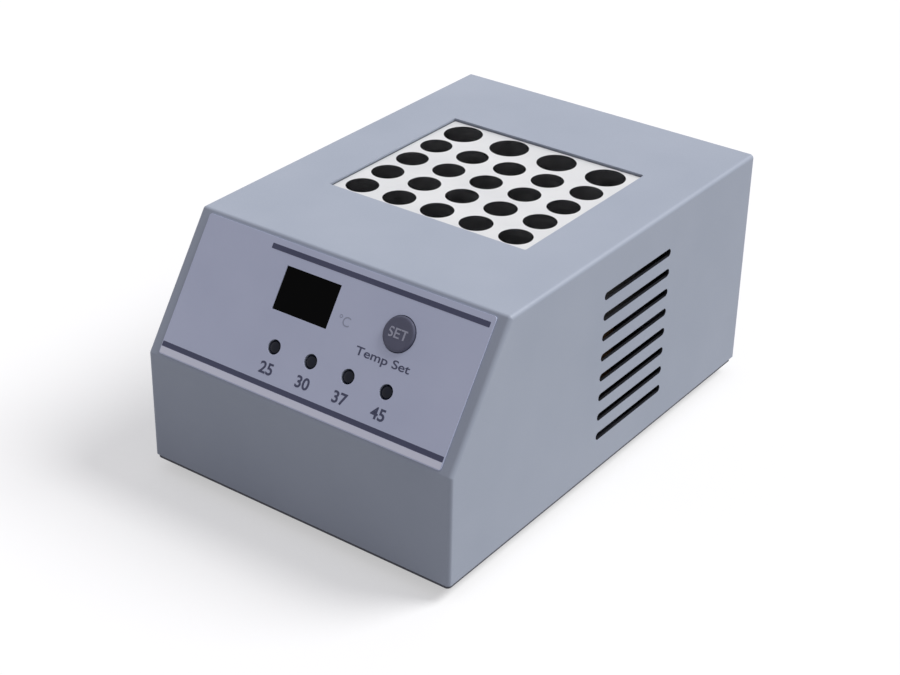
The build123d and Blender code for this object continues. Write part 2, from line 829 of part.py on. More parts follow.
with BuildPart() as transformer_winding:
    with BuildSketch(transformer_front):
        with Locations((0, transformer_height / 2)):
            Rectangle(2 * (core_leg + core_window) - 2 * seam_gap, winding_height - 2 * seam_gap)
    extrude(amount=winding_depth / 2, both=True)
    with BuildSketch(transformer_front):
        with Locations((0, transformer_height / 2)):
            Rectangle(2 * core_leg, winding_height)
    extrude(amount=transformer_depth / 2, both=True, mode=Mode.SUBTRACT)
transformer_winding.part.label = "transformer_winding"
export_step(transformer_winding.part, "parts/transformer_winding.step")

# Heat sink with upright fins, and the triac on its front
sink_pitch = (sink_width - sink_fin) / (sink_fins - 1)
with BuildPart() as heat_sink:
    with BuildSketch(Plane(origin=(sink_x, front_y + sink_y, control_board_top))):
        with Locations((0, -sink_depth / 2)):
            Rectangle(sink_width, sink_web, align=(Align.CENTER, Align.MIN))
            with Locations((0, sink_depth / 2)):
                with GridLocations(sink_pitch, 0, sink_fins, 1):
                    Rectangle(sink_fin, sink_depth)
    extrude(amount=sink_height)
heat_sink.part.label = "heat_sink"
export_step(heat_sink.part, "parts/heat_sink.step")

triac_y = front_y + sink_y - sink_depth / 2 - triac_depth / 2
with BuildPart(Plane(origin=(sink_x, triac_y, control_board_top))) as triac:
    Box(triac_width, triac_depth, triac_height, align=UP)
triac.part.label = "triac"
export_step(triac.part, "parts/triac.step")

with BuildPart(
    Plane(origin=(capacitor_x, front_y + capacitor_y, control_board_top))
) as smoothing_capacitor:
    Cylinder(capacitor_diameter / 2, capacitor_height, align=UP)
smoothing_capacitor.part.label = "smoothing_capacitor"
export_step(smoothing_capacitor.part, "parts/smoothing_capacitor.step")

with BuildPart(Plane(origin=(chip_x, front_y + chip_y, control_board_top))) as control_chip:
    Box(chip_length, chip_width, chip_height, align=UP)
control_chip.part.label = "control_chip"
export_step(control_chip.part, "parts/control_chip.step")

# Terminal block: its wire entries look to the rear
terminal_rear_y = front_y + terminal_y + terminal_depth / 2
terminal_width = terminal_pitch * terminal_ways
with BuildPart(Plane(origin=(terminal_x, front_y + terminal_y, control_board_top))) as terminal_block:
    Box(terminal_width, terminal_depth, terminal_height, align=UP)
terminal_block.part.label = "terminal_block"
export_step(terminal_block.part, "parts/terminal_block.step")

# Mains inlet: flange, body, socket with two cut corners, and the slot of the fuse drawer
inlet_front = inlet_face.offset(inlet_flange)
drawer_slot_depth = drawer_depth + drawer_slot_spare
with BuildPart() as power_inlet:
    with BuildSketch(inlet_face):
        RectangleRounded(inlet_flange_width, inlet_flange_height, inlet_corner)
    extrude(amount=inlet_flange)
    with BuildSketch(inlet_face):
        Rectangle(inlet_body_width, inlet_body_height)
    extrude(amount=-inlet_depth)
    with BuildSketch(inlet_front) as socket_outline:
        with Locations((0, socket_v)):
            Rectangle(socket_width, socket_height)
        chamfer(socket_outline.vertices().group_by(Axis.Y)[-1], length=socket_corner)
    extrude(amount=-socket_depth, mode=Mode.SUBTRACT)
    with BuildSketch(inlet_front):
        with Locations((0, drawer_v)):
            Rectangle(drawer_width + 2 * drawer_gap, drawer_height + 2 * drawer_gap)
    extrude(amount=-drawer_slot_depth, mode=Mode.SUBTRACT)
    with BuildSketch(inlet_front):
        with Locations(*pin_places):
            Rectangle(pin_width + 2 * thread_gap, pin_height + 2 * thread_gap)
    extrude(amount=-(inlet_flange + inlet_depth), mode=Mode.SUBTRACT)
    with BuildSketch(inlet_front):
        with GridLocations(inlet_screw_spacing, 0, 2, 1):
            Circle(m3 / 2 + hole_gap)
    extrude(amount=-inlet_flange, mode=Mode.SUBTRACT)
power_inlet.part.label = "power_inlet"
export_step(power_inlet.part, "parts/power_inlet.step")

with BuildPart() as inlet_pins:
    with BuildSketch(inlet_front.offset(-pin_sink)):
        with Locations(*pin_places):
            Rectangle(pin_width, pin_height)
    extrude(amount=-(inlet_flange - pin_sink + inlet_depth + pin_tail))
inlet_pins.part.label = "inlet_pins"
export_step(inlet_pins.part, "parts/inlet_pins.step")

inlet_screw_places = [(-inlet_screw_spacing / 2, 0), (inlet_screw_spacing / 2, 0)]
inlet_screws = pan_screws(
    inlet_front,
    inlet_screw_places,
    m3,
    inlet_flange + sheet + m3_nut_height + tip_reach,
    m3_head,
    m3_head_height,
)
inlet_screws.part.label = "inlet_screws"
export_step(inlet_screws.part, "parts/inlet_screws.step")

inlet_nuts = hex_nuts(
    inlet_face.offset(-sheet - m3_nut_height), inlet_screw_places, m3, m3_nut, m3_nut_height
)
inlet_nuts.part.label = "inlet_nuts"
export_step(inlet_nuts.part, "parts/inlet_nuts.step")

# Fuse drawer: a tray that slides out to the rear, with the fuse lying across it
tray_length = fuse_length + 2 * fuse_gap
tray_depth = fuse_diameter + 2 * fuse_gap
fuse_n = inlet_flange - drawer_depth / 2
with BuildPart() as fuse_drawer:
    with BuildSketch(inlet_front):
        with Locations((0, drawer_v)):
            Rectangle(drawer_width, drawer_height)
    extrude(amount=-drawer_depth)
    with BuildSketch(inlet_front):
        with Locations((0, drawer_v)):
            RectangleRounded(
                drawer_width + drawer_lip_margin, drawer_height + drawer_lip_margin, drawer_round
            )
    extrude(amount=drawer_lip)
    with BuildSketch(inlet_face.offset(fuse_n - tray_depth / 2)):
        with Locations((0, drawer_v + drawer_height / 2)):
            Rectangle(tray_length, 2 * tray_depth)
    extrude(amount=tray_depth, mode=Mode.SUBTRACT)
fuse_drawer.part.label = "fuse_drawer"
export_step(fuse_drawer.part, "parts/fuse_drawer.step")

fuse_v = drawer_v + drawer_height / 2 - tray_depth + fuse_diameter / 2 + fuse_gap
fuse_centre = inlet_face.from_local_coords((0, fuse_v, fuse_n))
fuse_plane = Plane(origin=fuse_centre, x_dir=(0, 0, 1), z_dir=(1, 0, 0))
with BuildPart(fuse_plane) as fuse:
    Cylinder(fuse_glass_diameter / 2, fuse_length - 2 * fuse_cap_length)
fuse.part.label = "fuse"
export_step(fuse.part, "parts/fuse.step")

with BuildPart(fuse_plane) as fuse_caps:
    with Locations(*[(0, 0, end * (fuse_length - fuse_cap_length) / 2) for end in (-1, 1)]):
        Cylinder(fuse_diameter / 2, fuse_cap_length)
fuse_caps.part.label = "fuse_caps"
export_step(fuse_caps.part, "parts/fuse_caps.step")

# Power switch: housing with a bezel, and the rocker that tips on its two stub pins
cavity_width = rocker_width + 2 * rocker_gap
cavity_height = rocker_length + 2 * rocker_end_gap
with BuildPart() as switch_housing:
    with BuildSketch(switch_face):
        RectangleRounded(bezel_width, bezel_height, bezel_corner)
    extrude(amount=bezel)
    with BuildSketch(switch_face):
        Rectangle(switch_body_width, switch_body_height)
    extrude(amount=-switch_depth)
    with BuildSketch(switch_face.offset(bezel)):
        Rectangle(cavity_width, cavity_height)
    extrude(amount=-(bezel + switch_cavity_depth), mode=Mode.SUBTRACT)
    with BuildSketch(rocker_plane):
        Circle(pivot_diameter / 2 + pivot_gap)
    extrude(amount=rocker_width / 2 + pivot_reach + pivot_gap, both=True, mode=Mode.SUBTRACT)
switch_housing.part.label = "switch_housing"
export_step(switch_housing.part, "parts/switch_housing.step")

with BuildPart() as switch_terminals:
    with BuildSketch(switch_face.offset(-switch_depth)):
        with GridLocations(0, spade_spacing, 1, 2):
            Rectangle(spade_width, spade_thickness)
    extrude(amount=-spade_length)
switch_terminals.part.label = "switch_terminals"
export_step(switch_terminals.part, "parts/switch_terminals.step")

rocker_half = rocker_length / 2
with BuildPart() as power_rocker:
    with BuildSketch(rocker_plane):
        with BuildLine():
            ThreePointArc(
                (-rocker_half, rocker_pivot + rocker_tip),
                (0, rocker_pivot + rocker_dip),
                (rocker_half, rocker_pivot + rocker_tip),
            )
            Polyline(
                (rocker_half, rocker_pivot + rocker_tip),
                (rocker_half, rocker_pivot - rocker_shoulder),
                (rocker_foot, rocker_pivot - rocker_depth),
                (-rocker_foot, rocker_pivot - rocker_depth),
                (-rocker_half, rocker_pivot - rocker_shoulder),
                (-rocker_half, rocker_pivot + rocker_tip),
            )
        make_face()
    extrude(amount=rocker_width / 2, both=True)
    with BuildSketch(rocker_plane):
        Circle(pivot_diameter / 2)
    extrude(amount=rocker_width / 2 + pivot_reach, both=True)
power_rocker.part.label = "power_rocker"
export_step(power_rocker.part, "parts/power_rocker.step")

# Earth stud on the base plate below the inlet's earth pin, with its nut
wire_lane_y = block_y + plate_depth / 2 + wire_lane_gap
with BuildPart(Plane(origin=(inlet_x, wire_lane_y, cover_bottom))) as earth_stud:
    Cylinder(m4 / 2, earth_length, align=UP)
earth_stud.part.label = "earth_stud"
export_step(earth_stud.part, "parts/earth_stud.step")

earth_nut = hex_nuts(Plane(origin=(inlet_x, wire_lane_y, cover_bottom)), [(0, 0)], m4, m4_nut, m4_nut_height)
earth_nut.part.label = "earth_nut"
export_step(earth_nut.part, "parts/earth_nut.step")

# Ribbon cable from the display board's back down to the control board
ribbon_top = panel.from_local_coords((display_board_x, display_board_v - board_hole_v, display_board_back))
ribbon_out = panel.from_local_coords(
    (display_board_x, display_board_v - board_hole_v, display_board_back - 2 * ribbon_bend)
)
with BuildPart() as ribbon_cable:
    with BuildLine():
        FilletPolyline(
            ribbon_top,
            ribbon_out,
            (display_board_x, ribbon_out.Y, control_board_top),
            radius=ribbon_bend / 2,
        )
    with BuildSketch(Plane(origin=ribbon_top, x_dir=(1, 0, 0), z_dir=ribbon_out - ribbon_top)):
        Rectangle(ribbon_width, ribbon_thickness)
    sweep()
ribbon_cable.part.label = "ribbon_cable"
export_step(ribbon_cable.part, "parts/ribbon_cable.step")

# Wiring under the clamp plate: every wire enters the terminal block from the rear
terminal_z = control_board_top + terminal_height / 2
terminal_entries = [
    terminal_x + terminal_pitch * (way - (terminal_ways - 1) / 2) for way in range(terminal_ways)
]
fan_y = terminal_rear_y + 2 * wire_fan
sensor_drop_y = sensor_end_y + sensor_loop


def wires(routes, diameter):
    """Make round wires that follow the routes, with a plain corner at every turn."""
    with BuildPart() as made:
        for route in routes:
            with BuildLine():
                Polyline(*route)
            with BuildSketch(Plane(origin=route[0], z_dir=Vector(route[1]) - Vector(route[0]))):
                Circle(diameter / 2)
            sweep(transition=Transition.RIGHT)
    return made


sensor_route = [
    (sensor_x, sensor_end_y, sensor_z),
    (sensor_x, sensor_drop_y, sensor_z),
    (sensor_x, sensor_drop_y, terminal_z),
    (sensor_x, fan_y, terminal_z),
    (terminal_entries[5], terminal_rear_y + wire_fan, terminal_z),
    (terminal_entries[5], terminal_rear_y, terminal_z),
]
sensor_lead = wires([sensor_route], sensor_lead_diameter)
sensor_lead.part.label = "sensor_lead"
export_step(sensor_lead.part, "parts/sensor_lead.step")

# Heater leads: from the mat down through the clamp plate, then forward to the terminals
heater_lead_y = block_y - plate_depth / 4
heater_routes = [
    [
        (x, heater_lead_y, plate_top),
        (x, heater_lead_y, terminal_z),
        (terminal_entries[way], terminal_rear_y + wire_fan, terminal_z),
        (terminal_entries[way], terminal_rear_y, terminal_z),
    ]
    for x, way in ((-heater_lead_x, 3), (heater_lead_x, 4))
]
heater_leads = wires(heater_routes, heater_lead_diameter)
heater_leads.part.label = "heater_leads"
export_step(heater_leads.part, "parts/heater_leads.step")

# Mains wires: live to the switch, switched live and neutral to the terminals, earth to its stud
live_pin, neutral_pin, earth_pin = [
    inlet_face.from_local_coords((x, v, -inlet_depth - pin_tail)) for x, v in pin_places
]
upper_spade, lower_spade = [
    switch_face.from_local_coords((0, side * spade_spacing / 2, -switch_depth - spade_length))
    for side in (1, -1)
]
mains_routes = [
    [
        live_pin,
        (live_pin.X, wire_lane_y, live_pin.Z),
        (upper_spade.X, wire_lane_y, upper_spade.Z),
        upper_spade,
    ],
    [
        lower_spade,
        (lower_spade.X, wire_lane_y, lower_spade.Z),
        (terminal_entries[2], fan_y, terminal_z),
        (terminal_entries[2], terminal_rear_y, terminal_z),
    ],
    [
        neutral_pin,
        (neutral_pin.X, wire_lane_y, neutral_pin.Z),
        (terminal_entries[1], wire_lane_y - wire_drop, terminal_z),
        (terminal_entries[1], terminal_rear_y, terminal_z),
    ],
    [
        earth_pin,
        (earth_pin.X, wire_lane_y, earth_pin.Z),
        (earth_pin.X, wire_lane_y, cover_bottom + earth_length),
    ],
]
mains_wires = wires(mains_routes, wire_diameter)
mains_wires.part.label = "mains_wires"
export_step(mains_wires.part, "parts/mains_wires.step")
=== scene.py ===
# %% [markdown]
# # A dry bath incubator for tube warming
# A bent sheet-steel case with a sloped control panel holds a drilled aluminium block. Tubes stand in the
# 24 wells, a heater mat under the block warms them, and the panel sets and shows the temperature.
# The solid parts come in as a fixed frame. This lesson gives each of them its real finish and adds what is
# finer than a solid: softened edges, printing, screw heads and lens domes.

# %% Loading the solid parts
import json
import math

import bmesh
import bpy
from mathutils import Matrix, Vector


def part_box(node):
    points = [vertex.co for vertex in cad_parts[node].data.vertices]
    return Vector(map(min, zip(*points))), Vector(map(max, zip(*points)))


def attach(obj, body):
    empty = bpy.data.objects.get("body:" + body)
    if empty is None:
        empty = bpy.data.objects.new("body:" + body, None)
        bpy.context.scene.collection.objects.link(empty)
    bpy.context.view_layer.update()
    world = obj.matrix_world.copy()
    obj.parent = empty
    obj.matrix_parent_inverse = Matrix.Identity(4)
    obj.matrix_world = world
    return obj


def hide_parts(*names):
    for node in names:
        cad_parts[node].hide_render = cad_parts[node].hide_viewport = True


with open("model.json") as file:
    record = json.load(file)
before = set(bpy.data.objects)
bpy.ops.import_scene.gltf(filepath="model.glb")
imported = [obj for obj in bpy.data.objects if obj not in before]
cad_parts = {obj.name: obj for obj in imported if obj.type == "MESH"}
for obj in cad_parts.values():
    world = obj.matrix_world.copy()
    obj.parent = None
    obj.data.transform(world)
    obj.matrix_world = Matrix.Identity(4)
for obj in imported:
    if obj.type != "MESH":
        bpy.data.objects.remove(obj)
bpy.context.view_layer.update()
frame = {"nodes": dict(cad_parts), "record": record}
nodes = frame["nodes"]
mm = 0.001
print("solid parts:", len(nodes))

# %% [markdown]
# ## Camera
# The camera stands where the photograph was taken. Its angles, focal length and distance were found from
# the corners of the case and the middles of the 24 wells, with the case's width as the unit of length.
# A long lens is used because the case's parallel edges hardly run together.

# %% Camera
cover_low, cover_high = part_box("top_cover")
front_y = cover_low.y
cover_bottom = cover_low.z
case_width = cover_high.x - cover_low.x

azimuth = math.radians(35.6447)
elevation = math.radians(29.4955)
roll = math.radians(1.1621)
back = Vector(
    (
        math.sin(azimuth) * math.cos(elevation),
        -math.cos(azimuth) * math.cos(elevation),
        math.sin(elevation),
    )
)
level_right = Vector((0, 0, 1)).cross(back).normalized()
level_up = back.cross(level_right)
right = math.cos(roll) * level_right + math.sin(roll) * level_up
up = math.cos(roll) * level_up - math.sin(roll) * level_right
to_right, to_up, to_back = 0.4060, 0.4692, 4.9308
front_foot = Vector((0, front_y, cover_bottom))
stand = (to_right * right + to_up * up + to_back * back) * case_width + front_foot

lens = bpy.data.cameras.new("photo_lens")
lens.sensor_width = 36
lens.lens = 75.46
camera = bpy.data.objects.new("photo_camera", lens)
camera.matrix_world = Matrix.Translation(stand) @ Matrix((right, up, back)).transposed().to_4x4()
bpy.context.scene.collection.objects.link(camera)
bpy.context.scene.camera = camera
print("camera stands", round(stand.length, 3), "m away")

# %% [markdown]
# ## Light and background
# A product photograph is lit by one large lamp and a white room. The lamp stands high at the right and
# behind, so the top is brightest, the right wall is a little darker, and the panel and front lie in soft
# shade. A sun lamp with a wide angle does this evenly over the whole object. The room is a plain world
# colour: dim for the light it sheds, and white where the camera or a shiny surface looks at it.


# %% Light helpers
def rays_that_see(tree):
    """Return a value that is 1 for rays from the camera, from gloss and through glass."""
    path = tree.nodes.new("ShaderNodeLightPath")
    first = tree.nodes.new("ShaderNodeMath")
    first.operation = "MAXIMUM"
    tree.links.new(path.outputs["Is Camera Ray"], first.inputs[0])
    tree.links.new(path.outputs["Is Glossy Ray"], first.inputs[1])
    second = tree.nodes.new("ShaderNodeMath")
    second.operation = "MAXIMUM"
    tree.links.new(first.outputs[0], second.inputs[0])
    tree.links.new(path.outputs["Is Transmission Ray"], second.inputs[1])
    return second.outputs[0]


def grey(level):
    """Return a neutral colour of this level."""
    return (level, level, level, 1)


# %% Room and lamp
scene = bpy.context.scene
scene.view_settings.view_transform = "Standard"

room = bpy.data.worlds.new("white_room")
room.use_nodes = True
scene.world = room
room_tree = room.node_tree
room_shade = room_tree.nodes["Background"]
room_colour = room_tree.nodes.new("ShaderNodeMix")
room_colour.data_type = "RGBA"
room_colour.inputs["A"].default_value = (0.37, 0.36, 0.39, 1)
room_colour.inputs["B"].default_value = grey(1.0)
room_tree.links.new(rays_that_see(room_tree), room_colour.inputs["Factor"])
room_tree.links.new(room_colour.outputs["Result"], room_shade.inputs["Color"])

lamp_direction = Vector((0.38, 0.39, 0.62))
key = bpy.data.lights.new("soft_key", "SUN")
key.energy = lamp_direction.length * math.pi
key.angle = math.radians(32)
key_lamp = bpy.data.objects.new("soft_key", key)
key_lamp.rotation_euler = lamp_direction.to_track_quat("Z", "Y").to_euler()
scene.collection.objects.link(key_lamp)
print("lamp strength", round(key.energy, 2))

# %% [markdown]
# ## Floor
# The floor is a plain white sheet. For the camera it gets a little light of its own, so that it melts into
# the white background and still keeps the soft shadow that makes the case stand on it. For light that
# bounces off it to the object it is a duller grey, as a studio table is.

# %% Floor
floor_reach = 4.0
floor_mesh = bpy.data.meshes.new("studio_floor")
floor_mesh.from_pydata(
    [(-floor_reach, -floor_reach, 0), (floor_reach, -floor_reach, 0), (floor_reach, floor_reach, 0),
     (-floor_reach, floor_reach, 0)],
    [],
    [(0, 1, 2, 3)],
)
floor = bpy.data.objects.new("studio_floor", floor_mesh)
scene.collection.objects.link(floor)

floor_paper = bpy.data.materials.new("floor_paper")
floor_paper.use_nodes = True
paper_tree = floor_paper.node_tree
paper_seen = paper_tree.nodes["Principled BSDF"]
paper_seen.inputs["Base Color"].default_value = grey(0.55)
paper_seen.inputs["Roughness"].default_value = 1.0
paper_seen.inputs["Specular IOR Level"].default_value = 0.0
paper_seen.inputs["Emission Color"].default_value = grey(1.0)
paper_seen.inputs["Emission Strength"].default_value = 0.47
paper_bounce = paper_tree.nodes.new("ShaderNodeBsdfDiffuse")
paper_bounce.inputs["Color"].default_value = grey(0.35)
paper_mix = paper_tree.nodes.new("ShaderNodeMixShader")
paper_tree.links.new(rays_that_see(paper_tree), paper_mix.inputs["Fac"])
paper_tree.links.new(paper_bounce.outputs[0], paper_mix.inputs[1])
paper_tree.links.new(paper_seen.outputs[0], paper_mix.inputs[2])
paper_tree.links.new(paper_mix.outputs[0], paper_tree.nodes["Material Output"].inputs["Surface"])
floor_mesh.materials.append(floor_paper)

# %% [markdown]
# ## How a finish is made
# Paint, plastic and metal are never one flat colour. Seen close, each has a tone that wanders a little over
# centimetres, a gloss that changes where hands touch it, and a fine grain. All three come from noise
# textures in the object's own coordinates, which are metres here, so a noise of scale 1 / size has blobs
# of that size. Stretching the coordinates turns the same noise into brushed lines.


# %% Finish helpers
def noise_of(tree, coordinates, size):
    """Add a noise texture whose blobs are this many metres wide, and return its value."""
    noise = tree.nodes.new("ShaderNodeTexNoise")
    noise.inputs["Scale"].default_value = 1 / size
    noise.inputs["Detail"].default_value = 3.0
    tree.links.new(coordinates, noise.inputs["Vector"])
    return noise.outputs["Fac"]


def spread(tree, value, low, high):
    """Map the middle of a noise's range to low and high."""
    mapped = tree.nodes.new("ShaderNodeMapRange")
    mapped.inputs["From Min"].default_value = 0.3
    mapped.inputs["From Max"].default_value = 0.7
    mapped.inputs["To Min"].default_value = low
    mapped.inputs["To Max"].default_value = high
    tree.links.new(value, mapped.inputs["Value"])
    return mapped.outputs["Result"]


def blended(tree, value, dark, light):
    """Mix two colours by a value."""
    mix = tree.nodes.new("ShaderNodeMix")
    mix.data_type = "RGBA"
    mix.inputs["A"].default_value = (*dark, 1)
    mix.inputs["B"].default_value = (*light, 1)
    tree.links.new(value, mix.inputs["Factor"])
    return mix.outputs["Result"]


def stretched(tree, coordinates, scale):
    """Scale the coordinates by a factor along each axis, for lines instead of blobs."""
    mapping = tree.nodes.new("ShaderNodeMapping")
    mapping.inputs["Scale"].default_value = scale
    tree.links.new(coordinates, mapping.inputs["Vector"])
    return mapping.outputs["Vector"]


def bumped(tree, shader, heights, distance):
    """Raise and sink the surface by each height value in turn."""
    normal = None
    for height in heights:
        bump = tree.nodes.new("ShaderNodeBump")
        bump.inputs["Distance"].default_value = distance
        bump.inputs["Strength"].default_value = 1.0
        tree.links.new(height, bump.inputs["Height"])
        if normal is not None:
            tree.links.new(normal, bump.inputs["Normal"])
        normal = bump.outputs["Normal"]
    tree.links.new(normal, shader.inputs["Normal"])


finishes = {}


def surface(
    name, dark, light, roughness, grain, bump, metallic=0.0, tone=0.03, lines=(1, 1, 1), specular=0.5
):
    """Make a finish: two tones that wander, a roughness range, and a grain of this size and bump height."""
    made = bpy.data.materials.new(name)
    made.use_nodes = True
    tree = made.node_tree
    shader = tree.nodes["Principled BSDF"]
    place = tree.nodes.new("ShaderNodeTexCoord").outputs["Object"]
    along = stretched(tree, place, lines)
    fine = noise_of(tree, along, grain)
    patches = noise_of(tree, place, tone)
    tree.links.new(blended(tree, spread(tree, patches, 0.0, 1.0), dark, light), shader.inputs["Base Color"])
    tree.links.new(spread(tree, fine, *roughness), shader.inputs["Roughness"])
    shader.inputs["Metallic"].default_value = metallic
    shader.inputs["Specular IOR Level"].default_value = specular
    bumped(tree, shader, [fine], bump)
    finishes[name] = made
    return made


# %% [markdown]
# ## How an edge is softened
# No real edge is knife sharp: sheared steel, moulded plastic and milled metal all catch a thin line of light
# where two faces meet. The solid's own triangles are copied, flat areas are joined again to whole faces,
# and a narrow bevel runs along every corner sharper than 30 degrees. Weighted normals then keep the large
# faces flat to the eye while the bevel turns smoothly.


# %% Shape helpers
def added(name, made, body, skins):
    """Turn mesh data into a named piece that rides on a body and wears the finishes it is given."""
    mesh = bpy.data.meshes.new(name)
    made.to_mesh(mesh)
    made.free()
    for skin in skins:
        mesh.materials.append(skin)
    mesh.shade_smooth()
    piece = bpy.data.objects.new(name, mesh)
    scene.collection.objects.link(piece)
    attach(piece, body)
    return piece


def eased(piece, width, steps=3):
    """Bevel corners over 30 degrees by this width, weight the normals, and keep the result as the mesh."""
    bevel = piece.modifiers.new("soft_edges", "BEVEL")
    bevel.width = width
    bevel.segments = steps
    bevel.limit_method = "ANGLE"
    bevel.angle_limit = math.radians(30)
    bevel.miter_outer = "MITER_ARC"
    weight = piece.modifiers.new("flat_faces", "WEIGHTED_NORMAL")
    weight.keep_sharp = True
    return kept(piece)


def kept(piece):
    """Keep what the piece's modifiers make as its own mesh."""
    shown = piece.evaluated_get(bpy.context.evaluated_depsgraph_get())
    mesh = bpy.data.meshes.new_from_object(shown)
    piece.modifiers.clear()
    piece.data = mesh
    return piece


def whole_faces(node):
    """Copy a solid part's mesh and join its triangles to whole flat faces."""
    made = bmesh.new()
    made.from_mesh(nodes[node].data)
    bmesh.ops.remove_doubles(made, verts=made.verts, dist=2e-6)
    bmesh.ops.dissolve_limit(made, angle_limit=math.radians(0.5), verts=made.verts, edges=made.edges)
    return made


slot_of = {item["node"]: item["material_slot"] for item in frame["record"]["subparts"]}


def eased_copy(name, node, width, body, skins, steps=3):
    """Make a piece that stands for a solid part, the same in shape but with softened edges."""
    piece = added(name, whole_faces(node), body, skins)
    eased(piece, width, steps)
    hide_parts(node)
    print(name, "has", len(piece.data.polygons), "faces")
    return piece


# %% [markdown]
# ## The painted case
# Front, slope, top and both sides are one sheet of steel, 1.2 mm thick, cut flat with all its openings and
# then folded. It is powder coated: the powder melts to a skin that is satin, even in colour, and has a very
# fine orange-peel skin that breaks up reflections. Two grains are used, one for the peel, one for the tone.
# The sheared edges of the vents and of the opening get a 0.2 mm bevel, as the powder rounds them. The cut
# walls of the vents, slots 3.2 mm wide, are coloured nearly black as painted shade, so each slot reads dark
# all through.

# %% The painted case
surface(
    "case_paint",
    dark=(0.350, 0.392, 0.474),
    light=(0.382, 0.424, 0.506),
    roughness=(0.40, 0.52),
    grain=0.0007,
    bump=0.000012,
    tone=0.045,
    specular=0.4,
)
# Painted shade: a near-black finish for the vent walls, standing for the shade inside the slots.
surface(
    "vent_painted_shade",
    dark=(0.006, 0.007, 0.010),
    light=(0.014, 0.015, 0.020),
    roughness=(0.60, 0.80),
    grain=0.0008,
    bump=0.00002,
    specular=0.2,
)


sheet_thickness = 1.2 * mm
sheet_margin = 0.1 * mm
vents_above_bottom = 10 * mm
vents_below_top = 8 * mm
vents_before_y = 50 * mm


def paint_vent_shade(made):
    """Give the cut walls of the side vents the second finish, a near-black painted shade."""
    outer = cover_high.x - sheet_margin
    inner = cover_high.x - sheet_thickness + sheet_margin
    lowest = cover_bottom + vents_above_bottom
    highest = cover_high.z - vents_below_top
    for face in made.faces:
        centre = face.calc_center_median()
        in_wall = inner < abs(centre.x) < outer and abs(face.normal.x) < 0.1
        if in_wall and lowest < centre.z < highest and centre.y < vents_before_y:
            face.material_index = 1


cover_mesh = whole_faces("top_cover")
paint_vent_shade(cover_mesh)
cover = added(
    "cover_shell", cover_mesh, "case", [finishes["case_paint"], finishes["vent_painted_shade"]]
)
eased(cover, 0.2 * mm)
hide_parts("top_cover")
eased_copy("rear_sheet", "rear_panel", 0.2 * mm, "case", [finishes["case_paint"]])

# %% [markdown]
# ## The base
# A flat steel sheet closes the case from below. It is coated dark, so from the side it reads as a thin dark
# line under the case. Its coat is a little coarser than the cover's, because nobody looks at it.

# %% The base
surface(
    "base_steel",
    dark=(0.036, 0.038, 0.055),
    light=(0.048, 0.050, 0.070),
    roughness=(0.45, 0.62),
    grain=0.0009,
    bump=0.00002,
    tone=0.03,
)
eased_copy("base_sheet", "base_plate", 0.15 * mm, "case", [finishes["base_steel"]])

# %% [markdown]
# ## Turned pieces
# Feet, lenses, the button and screw heads are all round, so each is drawn as half a section and turned
# about its axis. The helper takes points of radius and height, and spins them to rings of faces.


# %% Turning helper
def turned(section, steps=64, closed=False):
    """Spin a section of (radius, height) points about the upright axis."""
    made = bmesh.new()
    rings = []
    for step in range(steps):
        angle = 2 * math.pi * step / steps
        rings.append(
            [made.verts.new((r * math.cos(angle), r * math.sin(angle), z)) for r, z in section]
        )
    spans = range(len(section) if closed else len(section) - 1)
    for step in range(steps):
        this, following = rings[step], rings[(step + 1) % steps]
        for span in spans:
            after = (span + 1) % len(section)
            made.faces.new((this[span], following[span], following[after], this[after]))
    bmesh.ops.remove_doubles(made, verts=made.verts, dist=1e-7)
    bmesh.ops.dissolve_degenerate(made, dist=1e-7, edges=made.edges)
    bmesh.ops.recalc_face_normals(made, faces=made.faces)
    return made


def repeated(pattern, places):
    """Copy the pattern's mesh to every place and return all copies as one mesh."""
    single = bpy.data.meshes.new("pattern")
    pattern.to_mesh(single)
    pattern.free()
    made = bmesh.new()
    for place in places:
        first = len(made.verts)
        made.from_mesh(single)
        made.verts.ensure_lookup_table()
        bmesh.ops.transform(made, matrix=place, verts=made.verts[first:])
    bpy.data.meshes.remove(single)
    return made


def facing(point, direction):
    """Place a turned piece at a point with its axis along a direction."""
    turn = Vector((0, 0, 1)).rotation_difference(Vector(direction)).to_matrix().to_4x4()
    return Matrix.Translation(point) @ turn


def in_millimetres(section):
    """Read a section that is written in millimetres."""
    return [(r * mm, z * mm) for r, z in section]


# %% [markdown]
# ## Rubber feet
# Four moulded feet hold the case off the bench. A mould rounds the rim that touches the bench, and leaves a
# well for the screw's head. The rubber is matt and dark, with a dusty, slightly uneven skin.

# %% Rubber feet
surface(
    "foot_rubber",
    dark=(0.018, 0.018, 0.020),
    light=(0.032, 0.032, 0.034),
    roughness=(0.72, 0.92),
    grain=0.0006,
    bump=0.00003,
    tone=0.008,
    specular=0.3,
)
foot_section = in_millimetres(
    [
        (4.0, 3.0), (4.0, 0.5), (4.15, 0.15), (4.5, 0), (5.4, 0), (5.8, 0.12), (6.05, 0.5), (6.9, 4.2),
        (6.95, 4.7), (6.8, 4.95), (6.5, 5.0), (2.25, 5.0), (2.25, 3.0),
    ]
)
feet_low, feet_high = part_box("rubber_feet")
foot_radius = 7.0 * mm
foot_spots = [
    Vector((x, y, 0))
    for x in (feet_low.x + foot_radius, feet_high.x - foot_radius)
    for y in (feet_low.y + foot_radius, feet_high.y - foot_radius)
]
feet_mesh = repeated(turned(foot_section, closed=True), [Matrix.Translation(spot) for spot in foot_spots])
feet = added("moulded_feet", feet_mesh, "case", [finishes["foot_rubber"]])
eased(feet, 0.1 * mm, 2)
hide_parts("rubber_feet")

# %% [markdown]
# ## Screws
# The screws that show are pan heads with a cross recess, nickel plated. The head is turned from a domed
# section, then a tapered cross is cut out of it with an exact boolean, as the header's punch presses it.
# One screw of each group is made and copied to the places where the solid parts have theirs.


